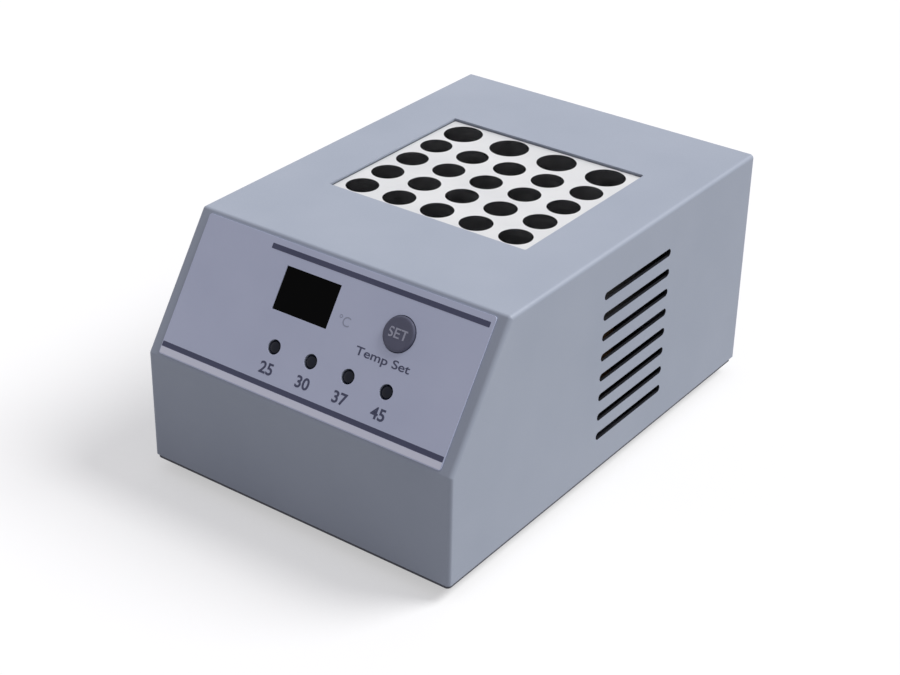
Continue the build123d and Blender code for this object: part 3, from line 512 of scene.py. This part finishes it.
# %% Screw helpers
def cross_punch(size, depth):
    """Make the tapered cross that cuts a screw's recess, with its wide end above the head."""
    arm = size / 2
    half = size * 0.13
    outline = [
        (half, arm), (half, half), (arm, half), (arm, -half), (half, -half), (half, -arm),
        (-half, -arm), (-half, -half), (-arm, -half), (-arm, half), (-half, half), (-half, arm),
    ]
    made = bmesh.new()
    wide = [made.verts.new((x, y, depth)) for x, y in outline]
    narrow = [made.verts.new((0.55 * x, 0.55 * y, -depth)) for x, y in outline]
    made.faces.new(wide)
    made.faces.new(reversed(narrow))
    count = len(outline)
    for n in range(count):
        after = (n + 1) % count
        made.faces.new((wide[n], narrow[n], narrow[after], wide[after]))
    bmesh.ops.recalc_face_normals(made, faces=made.faces)
    return made


def loose_object(name, made):
    """Link mesh data as a plain object, for use by a modifier only."""
    mesh = bpy.data.meshes.new(name)
    made.to_mesh(mesh)
    made.free()
    thing = bpy.data.objects.new(name, mesh)
    scene.collection.objects.link(thing)
    return thing


def pan_screw(head, height, thread, length):
    """Make one pan-head screw: head on the plane, shank behind it, cross recess in the crown."""
    r = head / 2
    section = [
        (0, height), (0.35 * r, 0.98 * height), (0.62 * r, 0.88 * height), (0.84 * r, 0.66 * height),
        (0.96 * r, 0.38 * height), (r, 0.12 * height), (0.985 * r, 0), (thread / 2, 0),
        (thread / 2, -length + 0.2 * thread), (0.35 * thread, -length), (0, -length),
    ]
    blank = loose_object("screw_blank", turned(section, 48))
    punch = loose_object("recess_punch", cross_punch(0.56 * head, 0.55 * height))
    punch.location.z = height
    bpy.context.view_layer.update()
    cut = blank.modifiers.new("recess", "BOOLEAN")
    cut.object = punch
    cut.operation = "DIFFERENCE"
    cut.solver = "EXACT"
    kept(blank)
    made = bmesh.new()
    made.from_mesh(blank.data)
    bpy.data.objects.remove(punch)
    bpy.data.objects.remove(blank)
    return made


def screws_at(name, node, head, height, thread, direction, plane_value):
    """Stand screws where a solid part has them: in from the corners of its box by the head's radius."""
    low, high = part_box(node)
    out = Vector(direction)
    axis = max(range(3), key=lambda n: abs(out[n]))
    across = [n for n in range(3) if n != axis]
    spots = set()
    for first in (low[across[0]] + head / 2, high[across[0]] - head / 2):
        for second in (low[across[1]] + head / 2, high[across[1]] - head / 2):
            point = [0.0, 0.0, 0.0]
            point[axis] = plane_value
            point[across[0]] = round(first, 6)
            point[across[1]] = round(second, 6)
            spots.add(tuple(point))
    length = high[axis] - low[axis] - height
    made = repeated(pan_screw(head, height, thread, length), [facing(spot, out) for spot in sorted(spots)])
    piece = added(name, made, "case", [finishes["screw_steel"]])
    piece.data.set_sharp_from_angle(angle=math.radians(32))
    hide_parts(node)
    print(name, "stand at", len(spots), "places")
    return piece


# %% Screws that show
surface(
    "screw_steel",
    dark=(0.46, 0.46, 0.47),
    light=(0.58, 0.575, 0.57),
    roughness=(0.24, 0.40),
    grain=0.0004,
    bump=0.000004,
    metallic=1.0,
    tone=0.004,
)
m3_head, m3_height, m3_thread = 5.5 * mm, 1.8 * mm, 3.0 * mm
m4_head, m4_height, m4_thread = 7.6 * mm, 2.2 * mm, 4.0 * mm
rear_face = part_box("rear_panel")[1].y
inlet_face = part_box("power_inlet")[1].y
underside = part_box("base_plate")[0].z
foot_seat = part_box("foot_screws")[0].z + m4_height
screws_at("rear_screws", "rear_panel_screws", m3_head, m3_height, m3_thread, (0, 1, 0), rear_face)
screws_at("inlet_pair_screws", "inlet_screws", m3_head, m3_height, m3_thread, (0, 1, 0), inlet_face)
screws_at("base_screws", "cover_screws", m3_head, m3_height, m3_thread, (0, 0, -1), underside)
screws_at("screws_in_feet", "foot_screws", m4_head, m4_height, m4_thread, (0, 0, -1), foot_seat)

# %% [markdown]
# ## The heating block
# The block is milled from solid aluminium and bead blasted, which leaves a bright, even, slightly sparkling
# skin. The wells are drilled and reamed after that: their walls keep fine turning rings and look darker,
# because light has to bounce down them. The well walls are found by their distance from the well's
# middle, which the record of the part gives, and get a finish of their own.

# %% The heating block
surface(
    "block_aluminium",
    dark=(0.68, 0.685, 0.705),
    light=(0.74, 0.74, 0.755),
    roughness=(0.36, 0.52),
    grain=0.00035,
    bump=0.000006,
    metallic=1.0,
    tone=0.02,
)
surface(
    "reamed_bore",
    dark=(0.76, 0.76, 0.78),
    light=(0.84, 0.84, 0.86),
    roughness=(0.10, 0.20),
    grain=0.0005,
    bump=0.0000012,
    metallic=1.0,
    tone=0.01,
    lines=(0.05, 0.05, 1),
)
wells = [mount for mount in frame["record"]["mounts"] if "_well_" in mount["name"]]
print("wells:", len(wells))


wall_margin = 0.05 * mm
rim_margin = 0.01 * mm


def in_a_well(point):
    """Tell whether this point lies on the wall or the bottom of a well."""
    for well in wells:
        middle = Vector(well["pos_m"])
        radius = well["dims"]["r_mm"] * mm
        if math.hypot(point.x - middle.x, point.y - middle.y) < radius + wall_margin:
            return True
    return False


block_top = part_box("heating_block")[1].z
block_mesh = whole_faces("heating_block")
for face in block_mesh.faces:
    centre = face.calc_center_median()
    if centre.z < block_top - rim_margin and in_a_well(centre):
        face.material_index = 1
block = added(
    "drilled_block",
    block_mesh,
    "case",
    [finishes["block_aluminium"], finishes["reamed_bore"]],
)
eased(block, 0.3 * mm, 3)
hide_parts("heating_block")

# %% [markdown]
# ## The panel's own frame of reference
# Everything on the slope is placed by its distance to the right of the middle, its distance up the slope
# from the fold, and its height above the painted sheet. One matrix turns these three into the case's frame.

# %% The panel's frame of reference
fold_height = 45.0 * mm
slope_run = 33.0 * mm
slope_rise = cover_high.z - cover_bottom - fold_height
slope_up = Vector((0, slope_run, slope_rise)).normalized()
slope_out = Vector((1, 0, 0)).cross(slope_up)
fold_point = Vector((0, front_y, cover_bottom + fold_height))
panel = Matrix.Translation(fold_point) @ Matrix(((1, 0, 0), slope_up, slope_out)).transposed().to_4x4()
print("slope leans back", round(math.degrees(math.atan2(slope_run, slope_rise)), 1), "degrees")


def on_panel(x, v, n=0.0):
    """Return the matrix of a place on the panel, given in millimetres."""
    return panel @ Matrix.Translation((x * mm, v * mm, n * mm))


# %% [markdown]
# ## The overlay and its printing
# A thin satin plate covers the slope. Its light grey has a faint horizontal brushing under the clear coat.
# Two dark stripes, a lighter band below the lower one, the numbers and the words are screen printed, so
# they stand only a few hundredths of a millimetre proud. They are made as very thin plates and thin
# letters, which gives them the crisp edge of print from any distance.

# %% The overlay
surface(
    "overlay",
    dark=(0.56, 0.605, 0.775),
    light=(0.60, 0.645, 0.815),
    roughness=(0.34, 0.46),
    grain=0.0008,
    bump=0.000004,
    tone=0.03,
    lines=(0.03, 1, 1),
    specular=0.4,
)
overlay_top = 0.5
print_height = 0.04
print_sunk = 0.01
print_corner = 0.25
letter_plane = overlay_top + print_height / 2
eased_copy("overlay_plate", "front_overlay", 0.08 * mm, "case", [finishes["overlay"]], 2)


# %% Printing helpers
def printed_bar(name, left, right_end, low, high, skin):
    """Print a bar on the overlay, from left to right and low to high in millimetres."""
    made = bmesh.new()
    corners = [(left, low), (right_end, low), (right_end, high), (left, high)]
    bottom = [made.verts.new((x * mm, v * mm, (overlay_top - print_sunk) * mm)) for x, v in corners]
    top = [made.verts.new((x * mm, v * mm, (overlay_top + print_height) * mm)) for x, v in corners]
    made.faces.new(top)
    made.faces.new(reversed(bottom))
    for n in range(4):
        after = (n + 1) % 4
        made.faces.new((bottom[n], bottom[after], top[after], top[n]))
    upright = [edge for edge in made.edges if edge.verts[0].co.z != edge.verts[1].co.z]
    bmesh.ops.bevel(
        made, geom=upright, offset=print_corner * mm, segments=4, affect="EDGES", profile=0.5,
        offset_type="OFFSET",
    )
    bmesh.ops.transform(made, matrix=panel, verts=made.verts)
    piece = added(name, made, "case", [skin])
    piece.data.set_sharp_from_angle(angle=math.radians(30))
    return piece


def lettering(name, words, cap_height, place, body, skin, stretch=1.0, weight=0.0):
    """Cut thin letters of this height in millimetres, centred at a place that looks outwards."""
    text = bpy.data.curves.new(name + "_text", "FONT")
    text.body = words
    text.extrude = 0.004
    text.offset = weight
    text.resolution_u = 6
    source = bpy.data.objects.new(name + "_text", text)
    scene.collection.objects.link(source)
    bpy.context.view_layer.update()
    shown = source.evaluated_get(bpy.context.evaluated_depsgraph_get())
    mesh = bpy.data.meshes.new_from_object(shown)
    bpy.data.objects.remove(source)
    made = bmesh.new()
    made.from_mesh(mesh)
    bpy.data.meshes.remove(mesh)
    across = [vert.co.x for vert in made.verts]
    along = [vert.co.y for vert in made.verts]
    size = cap_height * mm / (max(along) - min(along))
    middle = Vector(((max(across) + min(across)) / 2, (max(along) + min(along)) / 2, 0))
    sized = Matrix.Diagonal((size * stretch, size, size, 1)) @ Matrix.Translation(-middle)
    bmesh.ops.transform(made, matrix=place @ sized, verts=made.verts)
    piece = added(name, made, body, [skin])
    piece.data.set_sharp_from_angle(angle=math.radians(30))
    return piece


# %% Stripes, bands and numbers
surface(
    "stripe_print",
    dark=(0.060, 0.066, 0.125),
    light=(0.075, 0.081, 0.148),
    roughness=(0.38, 0.50),
    grain=0.0006,
    bump=0.000004,
    specular=0.3,
)
surface(
    "band_print",
    dark=(0.78, 0.80, 0.93),
    light=(0.82, 0.84, 0.96),
    roughness=(0.36, 0.48),
    grain=0.0006,
    bump=0.000004,
)
surface(
    "grey_print",
    dark=(0.33, 0.36, 0.47),
    light=(0.37, 0.40, 0.51),
    roughness=(0.40, 0.52),
    grain=0.0006,
    bump=0.000004,
    specular=0.3,
)
overlay_half = 64.7
printed_bar("upper_stripe", -33.0, 63.5, 52.3, 54.3, finishes["stripe_print"])
printed_bar("lower_stripe", -overlay_half, overlay_half, 4.2, 6.2, finishes["stripe_print"])
printed_bar("lower_band", -overlay_half, overlay_half, 1.6, 4.1, finishes["band_print"])
first_light, light_pitch = -16.7, 16.93
light_spots = [first_light + light_pitch * n for n in range(4)]
light_row, number_row = 19.2, 11.1
caption_place = (28.3, 28.6)
degree_place = (7.7, 37.0)
for x, number in zip(light_spots, ("25", "30", "37", "45")):
    lettering(
        "number_" + number, number, 4.5, on_panel(x, number_row, letter_plane), "case",
        finishes["stripe_print"], 1.05, 0.022,
    )
lettering(
    "caption_temp", "Temp Set", 4.1, on_panel(*caption_place, letter_plane), "case",
    finishes["stripe_print"], 1.4, 0.012,
)
lettering(
    "degree_mark", "°C", 3.8, on_panel(*degree_place, letter_plane), "case",
    finishes["grey_print"],
)

# %% [markdown]
# ## The display window
# The window is a dark tinted filter over the digits. Switched off, it looks black, and only its polish
# shows. Very little reflection is set on the shader itself, because the real filter is coated against glare.

# %% The display window
surface(
    "window",
    dark=(0.0004, 0.0004, 0.0006),
    light=(0.0010, 0.0010, 0.0014),
    roughness=(0.06, 0.14),
    grain=0.003,
    bump=0.000002,
    specular=0.03,
)
eased_copy("display_filter", "display_window", 0.15 * mm, "case", [finishes["window"]], 2)

# %% [markdown]
# ## Indicator lights
# Four lenses of dark tinted plastic show which temperature is set. Each is a low dome with a polished skin
# that picks up one soft highlight. The dome is turned from a section, and its foot stands on the board.

# %% Indicator lights
surface(
    "light_lens",
    dark=(0.0020, 0.0040, 0.014),
    light=(0.0040, 0.0070, 0.022),
    roughness=(0.12, 0.22),
    grain=0.002,
    bump=0.000003,
    specular=0.18,
)
lens_section = in_millimetres(
    [
        (0, 0.49), (0.6, 0.47), (1.15, 0.41), (1.6, 0.29), (2.0, 0.10), (2.3, -0.15), (2.5, -0.42),
        (2.6, -0.75), (2.6, -9.4), (0, -9.4),
    ]
)
lens_places = [on_panel(x, light_row) for x in light_spots]
lens_domes = added(
    "lens_domes", repeated(turned(lens_section, 48), lens_places), "case",
    [finishes["light_lens"]],
)
lens_domes.data.set_sharp_from_angle(angle=math.radians(50))
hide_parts("indicator_lights")

# %% [markdown]
# ## The button
# The button is a moulded cap that a finger presses by 0.8 mm. Its rim is rounded and its face is dished a
# little, so that the fingertip finds it. The word is printed in a lighter tone, just proud of the dish.
# Both ride on the button's own body, so they move together.

# %% The button
surface(
    "button_plastic",
    dark=(0.096, 0.100, 0.150),
    light=(0.112, 0.116, 0.172),
    roughness=(0.46, 0.62),
    grain=0.0005,
    bump=0.000010,
    tone=0.006,
    specular=0.3,
)
surface(
    "key_print",
    dark=(0.36, 0.37, 0.46),
    light=(0.42, 0.43, 0.52),
    roughness=(0.42, 0.55),
    grain=0.0005,
    bump=0.000004,
)
key_section = in_millimetres(
    [
        (0, 1.26), (2.0, 1.29), (4.0, 1.38), (5.2, 1.48), (5.7, 1.50), (6.05, 1.44), (6.30, 1.28),
        (6.44, 1.02), (6.49, 0.7), (6.49, -1.45), (8.0, -1.45), (8.0, -2.45), (2.5, -2.45), (2.5, -4.4),
        (0, -4.4),
    ]
)
button_x, button_v = 31.0, 39.5
key_mesh = turned(key_section, 72)
bmesh.ops.transform(key_mesh, matrix=on_panel(button_x, button_v), verts=key_mesh.verts)
set_key = added("set_key", key_mesh, "button", [finishes["button_plastic"]])
set_key.data.set_sharp_from_angle(angle=math.radians(40))
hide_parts("set_button")
lettering(
    "word_set", "SET", 3.7, on_panel(button_x, button_v, 1.36), "button",
    finishes["key_print"], 1.1, 0.012,
)

# %% [markdown]
# ## The rear side
# Behind are the mains inlet with its fuse drawer, and the power switch. Inlet and drawer are moulded in
# matt black plastic with fine spark-eroded texture, the rocker is glossy. The pins are plated brass. The
# moulded parts keep their solid shapes with edges rounded as in a mould.

# %% The rear side
surface(
    "inlet_plastic",
    dark=(0.012, 0.012, 0.013),
    light=(0.019, 0.019, 0.020),
    roughness=(0.50, 0.68),
    grain=0.0004,
    bump=0.000018,
    tone=0.01,
)
surface(
    "switch_plastic",
    dark=(0.010, 0.010, 0.011),
    light=(0.016, 0.016, 0.017),
    roughness=(0.20, 0.32),
    grain=0.0008,
    bump=0.000004,
    tone=0.01,
)
surface(
    "contact_metal",
    dark=(0.62, 0.52, 0.30),
    light=(0.74, 0.64, 0.40),
    roughness=(0.22, 0.36),
    grain=0.0005,
    bump=0.000004,
    metallic=1.0,
    tone=0.004,
    lines=(1, 0.08, 1),
)
surface(
    "white_print",
    dark=(0.72, 0.72, 0.71),
    light=(0.80, 0.80, 0.79),
    roughness=(0.45, 0.6),
    grain=0.0004,
    bump=0.000003,
)
eased_copy("inlet_moulding", "power_inlet", 0.3 * mm, "case", [finishes["inlet_plastic"]])
eased_copy("contact_pins", "inlet_pins", 0.35 * mm, "case", [finishes["contact_metal"]])
eased_copy("drawer_moulding", "fuse_drawer", 0.3 * mm, "drawer", [finishes["inlet_plastic"]])
eased_copy("switch_frame", "switch_housing", 0.3 * mm, "case", [finishes["switch_plastic"]])
eased_copy("rocker_key", "power_rocker", 0.25 * mm, "rocker", [finishes["switch_plastic"]])

# %% [markdown]
# ## Marks on the rocker
# A line and a ring tell on from off. The rocker's face is a hollow arc, so each mark is laid on the arc
# where its half is pressed, tilted to follow it, and rides on the rocker.

# %% Marks on the rocker
switch_low, switch_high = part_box("switch_housing")
rocker_tilt = math.radians(10)
rocker_arc = 28.9
rocker_floor = 2.1
mark_height = 3.0
mark_reach = 4.6
mark_proud = 0.03
pivot_depth = 1.2 * mm
along_rocker = Vector((0, math.sin(rocker_tilt), math.cos(rocker_tilt)))
out_of_rocker = Vector((0, math.cos(rocker_tilt), -math.sin(rocker_tilt)))
switch_middle = (switch_low + switch_high) / 2
pivot = Vector((switch_middle.x, switch_high.y - pivot_depth, switch_middle.z))
for name, sign, reach in (("mark_on", "I", mark_reach), ("mark_off", "O", -mark_reach)):
    lean = math.asin(reach / rocker_arc)
    rise = rocker_floor + rocker_arc * (1 - math.cos(lean))
    upward = math.cos(lean) * along_rocker + math.sin(lean) * out_of_rocker
    outward = Vector((-1, 0, 0)).cross(upward)
    spot = pivot + reach * mm * along_rocker + (rise + mark_proud) * mm * out_of_rocker
    place = Matrix.Translation(spot) @ Matrix(((-1, 0, 0), upward, outward)).transposed().to_4x4()
    lettering(name, sign, mark_height, place, "rocker", finishes["white_print"])

# %% [markdown]
# ## Finishes of the inner parts
# Behind the sheet are the boards, the transformer, the heater and the wiring. They show only through the
# vents and in an opened view, and still each gets its real material: green laminate, varnished steel,
# felt, silicone, coloured sleeves. Each row gives two tones, the range of roughness and the grain.

# %% Inner plastics, laminates and rubber
inner_finishes = {
    "module_plastic": ((0.010, 0.010, 0.012), (0.017, 0.017, 0.020), (0.42, 0.60), 0.0005, 0.00001),
    "board": ((0.008, 0.085, 0.030), (0.014, 0.120, 0.045), (0.26, 0.42), 0.0009, 0.00001),
    "heater_silicone": ((0.40, 0.085, 0.030), (0.50, 0.120, 0.045), (0.55, 0.72), 0.0011, 0.00005),
    "insulation": ((0.070, 0.070, 0.072), (0.120, 0.118, 0.115), (0.88, 1.00), 0.0012, 0.00035),
    "column_laminate": ((0.20, 0.11, 0.045), (0.30, 0.18, 0.085), (0.42, 0.58), 0.0007, 0.00002),
    "winding": ((0.52, 0.30, 0.030), (0.64, 0.40, 0.055), (0.34, 0.50), 0.0006, 0.00004),
    "capacitor": ((0.008, 0.012, 0.055), (0.012, 0.018, 0.080), (0.18, 0.30), 0.0015, 0.00001),
    "terminal_plastic": ((0.016, 0.150, 0.050), (0.026, 0.200, 0.070), (0.36, 0.52), 0.0006, 0.00001),
    "wire_sleeve": ((0.075, 0.030, 0.012), (0.115, 0.050, 0.022), (0.30, 0.45), 0.0008, 0.00001),
    "ribbon": ((0.28, 0.28, 0.30), (0.36, 0.36, 0.38), (0.38, 0.52), 0.0006, 0.00003),
}
for name, (dark, light, roughness, grain, bump) in inner_finishes.items():
    surface(name, dark, light, roughness, grain, bump, tone=0.012)
print("inner plastics and rubbers:", len(inner_finishes))

# %% Inner metals and glass
surface(
    "plate_aluminium", (0.55, 0.555, 0.56), (0.66, 0.66, 0.66), (0.28, 0.46), 0.0008, 0.000008,
    metallic=1.0, lines=(0.04, 1, 1),
)
surface(
    "probe_steel", (0.50, 0.50, 0.51), (0.60, 0.60, 0.61), (0.16, 0.30), 0.0006, 0.000004,
    metallic=1.0, lines=(1, 0.05, 1),
)
surface(
    "core_steel", (0.050, 0.050, 0.056), (0.085, 0.082, 0.082), (0.38, 0.60), 0.0005, 0.00006,
    metallic=0.6, lines=(0.04, 1, 0.04),
)
fuse_glass = surface(
    "fuse_glass", (0.80, 0.88, 0.88), (0.90, 0.95, 0.95), (0.02, 0.08), 0.004, 0.000002,
)
fuse_glass.node_tree.nodes["Principled BSDF"].inputs["Transmission Weight"].default_value = 0.92
fuse_glass.node_tree.nodes["Principled BSDF"].inputs["IOR"].default_value = 1.5

# %% [markdown]
# ## Dressing what is left
# Every solid part that no piece stands for keeps its shape and takes the finish of its slot in the record.
# The shape itself isn't touched, only the material in its slot.

# %% Dressing the solid parts
dressed = 0
for node, slot_name in slot_of.items():
    part_object = nodes[node]
    for material_slot in part_object.material_slots:
        material_slot.material = finishes[slot_name]
    dressed += 1
print("solid parts dressed:", dressed, "finishes:", len(finishes))
